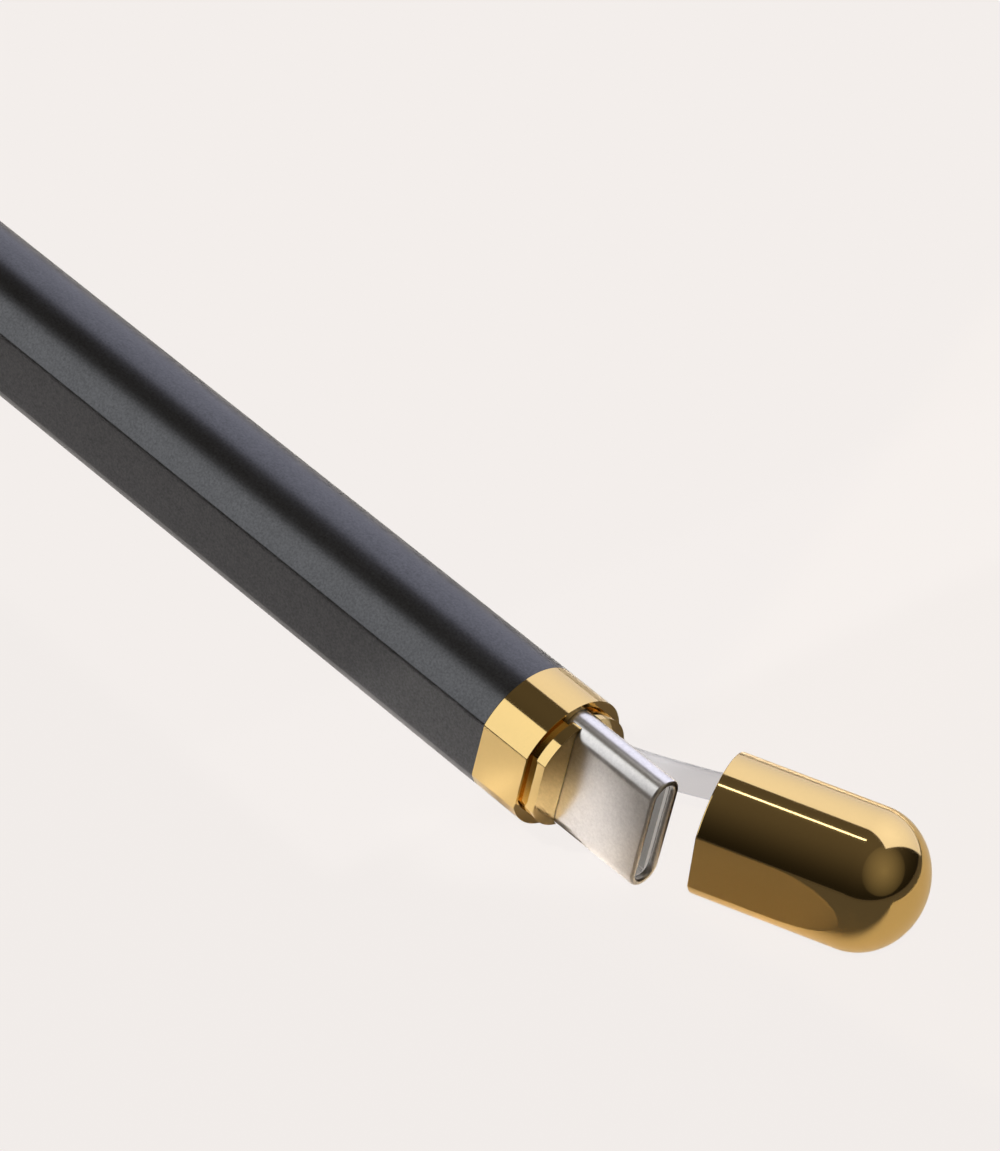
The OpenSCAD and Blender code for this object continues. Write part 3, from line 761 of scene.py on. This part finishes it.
class STYLUS_OT_plug(bpy.types.Operator):
    """Steel shell of the plug with its rolled lip"""

    bl_idname = "stylus.plug"
    bl_label = "Plug shell"

    def execute(self, context):
        s = context.scene.stylus_sizes
        wide, thick = PLUG_HIGH.z - PLUG_LOW.z, PLUG_HIGH.y - PLUG_LOW.y
        shell = slot_bar("plug_tube", wide, thick, PLUG_LOW.x, PLUG_HIGH.x)
        lip_back = PLUG_HIGH.x - s.plug_lip
        lip_round = 0.48 * s.plug_lip
        to_edit(shell)
        for facing, wall, end in ((-1, s.plug_wall, PLUG_LOW.x), (1, s.plug_lip, PLUG_HIGH.x)):
            select(shell, faces=lambda f: f.normal.x * facing > SQUARE)
            bpy.ops.mesh.inset(thickness=wall)
            bpy.ops.mesh.extrude_region_move(TRANSFORM_OT_translate={"value": (lip_back - end, 0, 0)})
        select(shell, faces=lambda f: all(near(v.co.x, lip_back) for v in f.verts))
        bpy.ops.mesh.bridge_edge_loops()
        select(shell, edges=lambda e: at_end(e, PLUG_HIGH.x))
        bpy.ops.mesh.bevel(offset=lip_round, segments=6, affect="EDGES")
        to_object()
        smooth(shell, 30)
        dress(shell, "plug_shell", "pen")
        return {"FINISHED"}


def cap_frame():
    """Place of the open cap: its own frame has +X along its axis and its mouth at x = 0."""
    s = bpy.context.scene.stylus_sizes
    return Matrix.Translation(s.cap_place) @ Euler(s.cap_turn).to_matrix().to_4x4()


def flat_cutter(name):
    """Cutter for the cap's flat: straight to a length, then running out in a large radius."""
    s = bpy.context.scene.stylus_sizes
    reach, touch = 9 * MM, 0.01 * MM
    half = 2 * s.cap_radius
    hub = (s.cap_flat_length, -s.cap_flat - s.cap_runout, -half)
    turn = math.asin(reach / s.cap_runout)
    far = (s.cap_flat_length + reach, hub[1] + s.cap_runout * math.cos(turn), -half)
    start = (s.cap_flat_length, -s.cap_flat, -half)
    cutter = first_point(name, far)
    bpy.ops.mesh.spin(steps=96, angle=-turn, center=hub, axis=(0, 0, 1))
    select(cutter, verts=lambda v: (v.co - Vector(start)).length < touch)
    low = -2 * s.cap_radius
    draw([(-MM, start[1], -half), (-MM, low, -half), (far[0], low, -half)], start)
    bpy.ops.mesh.select_all(action="SELECT")
    bpy.ops.mesh.edge_face_add()
    bpy.ops.mesh.extrude_region_move(TRANSFORM_OT_translate={"value": (0, 0, 2 * half)})
    outward()
    to_object()
    return cutter


class STYLUS_OT_cap(bpy.types.Operator):
    """Hollow domed cap with a flat that runs out before the dome"""

    bl_idname = "stylus.cap"
    bl_label = "Cap"

    def execute(self, context):
        s = context.scene.stylus_sizes
        mouth_soft = 0.08 * MM
        deselect()
        bpy.ops.mesh.primitive_uv_sphere_add(
            segments=256, ring_count=96, radius=s.cap_radius, rotation=(0, math.pi / 2, 0)
        )
        cap = context.object
        cap.name = cap.data.name = "cap_dome"
        bpy.ops.object.transform_apply(location=False, rotation=True, scale=False)
        to_edit(cap)
        select(cap, verts=lambda v: v.co.x < -TINY)
        bpy.ops.mesh.delete(type="VERT")
        bpy.ops.mesh.select_all(action="SELECT")
        bpy.ops.transform.resize(value=(s.dome_length / s.cap_radius, 1, 1), center_override=(0, 0, 0))
        bpy.ops.transform.translate(value=(s.cap_length, 0, 0))
        select(cap, edges=lambda e: all(near(v.co.x, s.cap_length) for v in e.verts))
        bpy.ops.mesh.extrude_edges_move(TRANSFORM_OT_translate={"value": (-s.cap_length, 0, 0)})
        bpy.ops.mesh.edge_face_add()
        outward()
        to_object()
        combine(cap, flat_cutter("flat_cutter"), "DIFFERENCE")
        to_edit(cap)
        select(cap, faces=lambda f: f.normal.x < -SQUARE and near(f.calc_center_median().x, 0))
        bpy.ops.mesh.delete(type="ONLY_FACE")
        outward()
        to_object()
        use_modifier(cap, "SOLIDIFY", thickness=s.cap_wall, offset=-1, use_even_offset=True)
        to_edit(cap)
        select(cap, edges=lambda e: at_end(e, 0))
        bpy.ops.mesh.bevel(offset=mouth_soft, segments=3, affect="EDGES")
        to_object()
        cap.matrix_world = cap_frame()
        bpy.ops.object.transform_apply(location=True, rotation=True, scale=False)
        smooth(cap, 8)
        dress(cap, "cap_shell", "cap")
        return {"FINISHED"}


def strap_path():
    """Points and tilts of the strap's middle, from behind the ferrule into the cap."""
    s = bpy.context.scene.stylus_sizes
    place = cap_frame()
    ahead = place.to_3x3() @ Vector((1, 0, 0))
    root = Vector((0, s.strap_offset, 0))
    entry = place @ Vector((s.strap_width / 4, s.strap_cap_offset, 0))
    steps = 24
    inset = s.knob_length / 2
    path = [(Vector((STRAP_LOW.x + inset, s.strap_offset, 0)), 0)]
    for i in range(steps + 1):
        u = i / steps
        v = 1 - u
        point = root * (v * v * (1 + 2 * u)) + entry * (u * u * (1 + 2 * v))
        point += Vector((1, 0, 0)) * (s.strap_pull * u * v * v) - ahead * (s.strap_pull * u * u * v)
        path.append((point, u))
    path.append((place @ Vector((s.strap_depth - inset, s.strap_cap_offset, 0)), 1))
    return path


def strap_knob(name, place, x0, offset):
    """Knob at one end of the strap, thicker towards the axis of the piece that holds it."""
    s = bpy.context.scene.stylus_sizes
    knob_soft = 0.12 * MM
    top = offset + s.strap_thickness / 2
    side = s.strap_width / 2 + s.knob_lip
    low = (x0, top - s.knob_thickness, -side)
    knob = block(name, low, (x0 + s.knob_length, top + s.knob_lip, side))
    knob.matrix_world = place
    bpy.ops.object.transform_apply(location=True, rotation=True, scale=False)
    soften(knob, knob_soft)
    return knob


class STYLUS_OT_strap(bpy.types.Operator):
    """Clear flat strap that holds the cap to the pen, with a knob at each end"""

    bl_idname = "stylus.strap"
    bl_label = "Strap"

    def execute(self, context):
        s = context.scene.stylus_sizes
        path = strap_path()
        deselect()
        bpy.ops.curve.primitive_nurbs_path_add()
        curve = context.object
        curve.name = curve.data.name = "strap_band"
        shape = curve.data
        shape.splines.clear()
        spline = shape.splines.new("POLY")
        spline.points.add(len(path) - 1)
        for target, (point, share) in zip(spline.points, path):
            target.co = (*point, 1)
            target.tilt = share * s.cap_turn[0]
        shape.twist_mode = "Z_UP"
        shape.bevel_depth = s.strap_thickness / 2
        shape.bevel_resolution = 4
        shape.extrude = s.strap_width / 2 - shape.bevel_depth
        shape.use_fill_caps = True
        only(curve)
        bpy.ops.object.convert(target="MESH")
        strap = context.object
        to_edit(strap)
        outward()
        to_object()
        ends = (
            ("pen_knob", Matrix(), STRAP_LOW.x, s.strap_offset),
            ("cap_knob", cap_frame(), s.strap_depth - s.knob_length, s.strap_cap_offset),
        )
        for end in ends:
            combine(strap, strap_knob(*end), "UNION")
        smooth(strap, 40)
        dress(strap, "strap", None)
        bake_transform(strap)
        return {"FINISHED"}


class STYLUS_OT_works(bpy.types.Operator):
    """Finishes of the pieces that keep their CAD shape"""

    bl_idname = "stylus.works"
    bl_label = "Inner works"

    def execute(self, context):
        for node, obj in frame["nodes"].items():
            obj.data.materials.clear()
            obj.data.materials.append(finish(SLOT_OF[node]))
        return {"FINISHED"}


# Stage

PLAIN, WHITE, COOL = (1, 1, 1), (1.0, 0.98, 0.96), (0.98, 0.98, 1.15)
AMBER, DEEP_AMBER = (1.0, 0.86, 0.6), (0.97, 0.7, 0.36)
ALONG_PEN, ACROSS_PEN, ALONG_CAP = (1, 0, 0), (0, 1, 0), (0.93, 0.37, 0)

# Soft box: centre, facing, way of its first side, size in metres, level, tint, spread in degrees
SOFT_BOXES = {
    "back_box": ((-0.45, 0.486, 0.259), (0, -1, -1.2), ALONG_PEN, (1.3, 0.804), 0.82, COOL, 155),
    "front_box": ((-0.36, -0.3, 0.27), (0, 1, 0), ALONG_PEN, (0.52, 0.55), 1.12, PLAIN, 180),
    "right_box": ((0.45, 0, 0.42), (-1, 0, -0.9), ACROSS_PEN, (1.0, 0.85), 0.032, AMBER, 85),
    "mouth_fill": ((0.25, -0.12, 0.15), (-1, 0.45, -0.6), ACROSS_PEN, (0.1, 0.1), 40, PLAIN, 180),
    "top_line": ((-0.13, -0.012, 0.5), (0, 0, -1), ALONG_CAP, (0.12, 0.02), 4.0, PLAIN, 180),
}

# Floor wash: point of its front edge, way of that edge, heading, reach along the edge and depth in mm,
# level, tint
FLOOR_WASHES = {
    "wash_cap": ((13.3, 1.7), (0.98, 0.2), (-0.55, 0.835), (-9, 80), 300, 0.8, AMBER),
    "wash_cap_front": ((13.3, -5.5), (0.98, 0.2), (-0.55, 0.835), (-9, 6), 300, 0.2, DEEP_AMBER),
    "wash_plug": ((-6.1, -7.9), (0.79, -0.61), (0.61, 0.79), (-0.3, 5.8), 14, 1.4, WHITE),
    "wash_ferrule": ((0, -16), (1, 0), (0, 1), (-18, -4.5), 300, 1.12, WHITE),
    "wash_barrel": ((0, -16), (1, 0), (0, 1), (-200, -18), 300, 0.77, WHITE),
}


def soft_box(name, centre, facing, along, size, level, tint, spread):
    """Soft box: a rectangle that faces a way, with its first side along a direction."""
    deselect()
    bpy.ops.object.light_add(type="AREA", location=centre)
    lamp = bpy.context.object
    lamp.name = lamp.data.name = name
    back = -Vector(facing).normalized()
    side = (Vector(along) - back * back.dot(Vector(along))).normalized()
    lamp.rotation_euler = Matrix((side, back.cross(side), back)).transposed().to_euler()
    lamp.data.shape = "RECTANGLE"
    lamp.data.size, lamp.data.size_y = size
    lamp.data.energy = level * math.pi * size[0] * size[1]
    lamp.data.color = tint
    lamp.data.spread = math.radians(spread)
    lamp.visible_camera = False
    return lamp


def floor_wash(name, floor_z, edge, along, heading, reach, depth, level, tint):
    """Narrow lamp that lights the floor behind a line through the point edge, to a depth."""
    distance, slant, spread = 0.25, math.radians(45), 1.2
    front = Vector((edge[0] * MM, edge[1] * MM, floor_z))
    along, heading = Vector((*along, 0)), Vector((*heading, 0))
    aim = heading * math.cos(slant) - Vector((0, 0, math.sin(slant)))
    size = ((reach[1] - reach[0]) * MM, depth * MM * math.sin(slant))
    side = (along - aim * aim.dot(along)).normalized()
    rise = side.cross(aim)
    inwards = rise - aim * (rise.z / aim.z)
    middle = front + along * (sum(reach) / 2 * MM) + inwards * (size[1] / 2)
    lamp = soft_box(name, middle - aim * distance, aim, along, size, level, tint, spread)
    lamp.visible_glossy = False
    return lamp


def leave_out(name, lamps, objects):
    """Keeps the light of some lamps off some objects."""
    skipped = bpy.data.collections.new(name)
    for i, obj in enumerate(objects):
        skipped.objects.link(obj)
        skipped.collection_objects[i].light_linking.link_state = "EXCLUDE"
    for lamp in lamps:
        lamp.light_linking.receiver_collection = skipped


def paper_sweep(floor_z):
    """Round paper floor whose rim curves up."""
    reach, rise = 3.0, 0.26
    turns = [math.radians(a) for a in range(0, 91, 15)]
    bend = [(floor_z + rise * (1 - math.cos(a)), reach + rise * math.sin(a)) for a in turns]
    sweep = turned("floor", [(floor_z, 0.0)] + bend, "Z")
    to_edit(sweep)
    bpy.ops.mesh.select_all(action="SELECT")
    bpy.ops.mesh.normals_make_consistent(inside=True)
    to_object()
    smooth(sweep, 40)
    sweep.data.materials.append(paper())
    return sweep


def studio_sky():
    """Dim warm room, a little lighter overhead."""
    horizon, overhead, power = 0.015, 0.1, 2
    world = bpy.data.worlds.new("studio")
    world.use_nodes = True
    tree = world.node_tree
    sky = tree.nodes["Background"]
    sky.inputs["Color"].default_value = (1, 0.84, 0.64, 1)
    way = node_of(tree, "ShaderNodeTexCoord")
    parts = node_of(tree, "ShaderNodeSeparateXYZ")
    rise = node_of(tree, "ShaderNodeMath", operation="POWER", use_clamp=True)
    rise.inputs[1].default_value = power
    level = node_of(tree, "ShaderNodeMath", operation="MULTIPLY_ADD")
    level.inputs[1].default_value = overhead
    level.inputs[2].default_value = horizon
    tree.links.new(way.outputs["Generated"], parts.inputs[0])
    tree.links.new(parts.outputs["Z"], rise.inputs[0])
    tree.links.new(rise.outputs[0], level.inputs[0])
    tree.links.new(level.outputs[0], sky.inputs["Strength"])
    return world


def studio_camera(stage):
    """Camera with the place, turn and lens that the stage gives."""
    deselect()
    bpy.ops.object.camera_add()
    camera = bpy.context.object
    right, up = Vector(stage.camera_right).normalized(), Vector(stage.camera_up)
    back = right.cross(up).normalized()
    up = back.cross(right)
    turn = Matrix((right, up, back)).transposed().to_4x4()
    camera.matrix_world = Matrix.Translation(stage.camera_place) @ turn
    camera.data.lens = stage.lens
    camera.data.clip_start, camera.data.clip_end = 0.01, 20
    return camera


class STYLUS_OT_stage(bpy.types.Operator):
    """Pale floor, lamps, sky and camera. It comes last, because a lamp leaves out the ferrule"""

    bl_idname = "stylus.stage"
    bl_label = "Stage"

    def execute(self, context):
        scene = context.scene
        gap = 0.02 * MM
        floor_z = CAD_BOX[0].z - gap
        sweep = paper_sweep(floor_z)
        boxes = {name: soft_box(name, *values) for name, values in SOFT_BOXES.items()}
        boxes["right_box"].data.shape = "ELLIPSE"
        boxes["mouth_fill"].visible_glossy = False
        washed = bpy.data.collections.new("lit_by_washes")
        washed.objects.link(sweep)
        for name, values in FLOOR_WASHES.items():
            lamp = floor_wash(name, floor_z, *values)
            lamp.light_linking.receiver_collection = washed
        line = boxes.pop("top_line")
        leave_out("skipped_by_boxes", boxes.values(), [sweep])
        leave_out("skipped_by_line", [line], [sweep, bpy.data.objects["ferrule_band"]])
        scene.world = studio_sky()
        scene.camera = studio_camera(scene.stylus_stage)
        scene.view_settings.view_transform = "Standard"
        return {"FINISHED"}


class STYLUS_PT_panel(bpy.types.Panel):
    """Lists the stylus's pieces"""

    bl_label = "Tablet Stylus"
    bl_idname = "STYLUS_PT_panel"
    bl_space_type = "VIEW_3D"
    bl_region_type = "UI"
    bl_category = "Stylus"

    def draw(self, context):
        scene = context.scene
        for operator in OPERATORS:
            self.layout.operator(operator.bl_idname)
        for group in (scene.stylus_sizes, scene.stylus_finishes, scene.stylus_stage):
            box = self.layout.box()
            for name in group.bl_rna.properties.keys():
                if name not in ("rna_type", "name"):
                    box.prop(group, name)


GROUPS = (StylusSizes, StylusFinishes, StylusStage)
OPERATORS = (
    STYLUS_OT_works,
    STYLUS_OT_barrel,
    STYLUS_OT_nose,
    STYLUS_OT_nib,
    STYLUS_OT_ferrule,
    STYLUS_OT_plug,
    STYLUS_OT_cap,
    STYLUS_OT_strap,
    STYLUS_OT_stage,
)


def register():
    """Registers the classes, and keeps their settings on the scene."""
    for cls in (*GROUPS, *OPERATORS, STYLUS_PT_panel):
        bpy.utils.register_class(cls)
    bpy.types.Scene.stylus_sizes = PointerProperty(type=StylusSizes)
    bpy.types.Scene.stylus_finishes = PointerProperty(type=StylusFinishes)
    bpy.types.Scene.stylus_stage = PointerProperty(type=StylusStage)


def unregister():
    """Takes the settings and the classes away again."""
    del bpy.types.Scene.stylus_stage
    del bpy.types.Scene.stylus_finishes
    del bpy.types.Scene.stylus_sizes
    for cls in reversed((*GROUPS, *OPERATORS, STYLUS_PT_panel)):
        bpy.utils.unregister_class(cls)


def main():
    """Makes every piece and the stage."""
    register()
    for operator in OPERATORS:
        group, name = operator.bl_idname.split(".")
        getattr(getattr(bpy.ops, group), name)()
    deselect()


if __name__ == "__main__":
    main()
